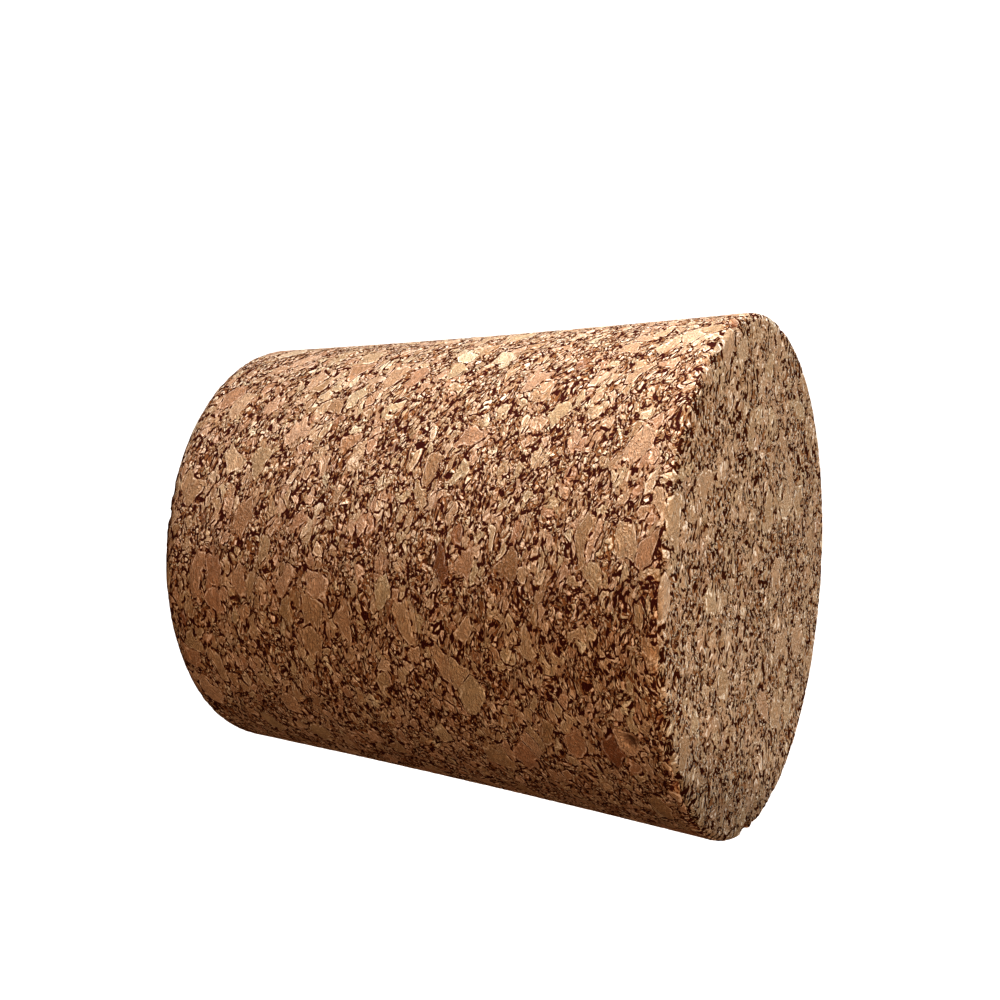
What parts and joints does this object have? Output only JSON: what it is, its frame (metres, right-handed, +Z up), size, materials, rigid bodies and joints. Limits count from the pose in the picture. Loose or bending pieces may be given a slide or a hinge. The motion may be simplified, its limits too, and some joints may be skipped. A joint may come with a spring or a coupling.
{
  "type": "cork stopper",
  "caption": "Solid tapered stopper of bonded cork granules, with flat ends, lightly rounded crumbling rims and small open pores.",
  "frame": {"origin": "centre of the small end's face, which is the face it stands on", "axes": "+Z up along the axis, from the small end to the large end; -Y is taken as the front; turning about Z changes only where the wear lies"},
  "size_m": [0.0498, 0.0498, 0.0535],
  "materials": {
    "cork": "ground agglomerated cork, matte: tan granules with thin dark brown joints, pits and a few reddish woody specks"
  },
  "bodies": {
    "root": {"stopper": "cork"}
  },
  "joints": []
}
